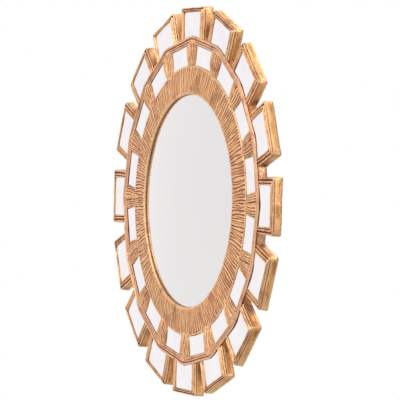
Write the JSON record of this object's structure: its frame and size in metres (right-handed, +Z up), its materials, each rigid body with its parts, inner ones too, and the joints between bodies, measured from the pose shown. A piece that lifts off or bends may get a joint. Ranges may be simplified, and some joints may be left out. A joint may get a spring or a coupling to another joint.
{
  "type": "convex butlers mirror",
  "caption": "Round convex wall mirror in a gilded, petal-shaped frame set with two rings of flat mirror tiles; hangs from a swinging D-ring.",
  "frame": {"origin": "the point at the top of the hanger ring's bow, on the middle of the mirror's width and in the plane of the frame's flat back, where a wall hook carries the mirror", "axes": "+Z up; the mirror faces -Y and its flat back faces +Y, towards the wall; +X to the right seen from the front"},
  "size_m": [0.5254, 0.0351, 0.5253],
  "materials": {
    "gilded_resin": "gold leaf over a brown ground, rubbed and worn",
    "tile_mirror": "silvered flat glass with ground edges",
    "convex_glass": "silvered convex glass",
    "felt": "pressed wool felt",
    "hardboard": "plain brown hardboard",
    "brass": "brass-plated sheet",
    "zinc_steel": "bright zinc plating"
  },
  "bodies": {
    "mirror": {"frame": "gilded_resin", "outer_tile_01": "tile_mirror", "outer_tile_02": "tile_mirror", "outer_tile_03": "tile_mirror", "outer_tile_04": "tile_mirror", "outer_tile_05": "tile_mirror", "outer_tile_06": "tile_mirror", "outer_tile_07": "tile_mirror", "outer_tile_08": "tile_mirror", "outer_tile_09": "tile_mirror", "outer_tile_10": "tile_mirror", "outer_tile_11": "tile_mirror", "outer_tile_12": "tile_mirror", "outer_tile_13": "tile_mirror", "outer_tile_14": "tile_mirror", "outer_tile_15": "tile_mirror", "outer_tile_16": "tile_mirror", "inner_tile_01": "tile_mirror", "inner_tile_02": "tile_mirror", "inner_tile_03": "tile_mirror", "inner_tile_04": "tile_mirror", "inner_tile_05": "tile_mirror", "inner_tile_06": "tile_mirror", "inner_tile_07": "tile_mirror", "inner_tile_08": "tile_mirror", "inner_tile_09": "tile_mirror", "inner_tile_10": "tile_mirror", "inner_tile_11": "tile_mirror", "inner_tile_12": "tile_mirror", "inner_tile_13": "tile_mirror", "inner_tile_14": "tile_mirror", "inner_tile_15": "tile_mirror", "inner_tile_16": "tile_mirror", "convex_mirror": "convex_glass", "glass_spacer": "felt", "backing_board": "hardboard", "button_screw_01": "zinc_steel", "button_screw_02": "zinc_steel", "button_screw_03": "zinc_steel", "button_screw_04": "zinc_steel", "hanger_strap": "brass", "hanger_screw_1": "zinc_steel", "hanger_screw_2": "zinc_steel", "right_bumper": "felt", "left_bumper": "felt"},
    "turn_button_01": {"turn_button_01": "brass"},
    "turn_button_02": {"turn_button_02": "brass"},
    "turn_button_03": {"turn_button_03": "brass"},
    "turn_button_04": {"turn_button_04": "brass"},
    "hanger_ring": {"hanger_ring": "zinc_steel"}
  },
  "joints": [
    {"name": "turn_button_01_pivot", "type": "hinge", "parent": "mirror", "child": "turn_button_01", "pos_m": [0.11455, 0, -0.0937], "axis": [0, 1, 0], "continuous": true},
    {"name": "turn_button_02_pivot", "type": "hinge", "parent": "mirror", "child": "turn_button_02", "pos_m": [0.11455, 0, -0.3228], "axis": [0, 1, 0], "continuous": true},
    {"name": "turn_button_03_pivot", "type": "hinge", "parent": "mirror", "child": "turn_button_03", "pos_m": [-0.11455, 0, -0.3228], "axis": [0, 1, 0], "continuous": true},
    {"name": "turn_button_04_pivot", "type": "hinge", "parent": "mirror", "child": "turn_button_04", "pos_m": [-0.11455, 0, -0.0937], "axis": [0, 1, 0], "continuous": true},
    {"name": "hanger_ring_swing", "type": "hinge", "parent": "mirror", "child": "hanger_ring", "pos_m": [0, 0.003, -0.01275], "axis": [-1, 0, 0], "range_deg": [0, 185]}
  ]
}
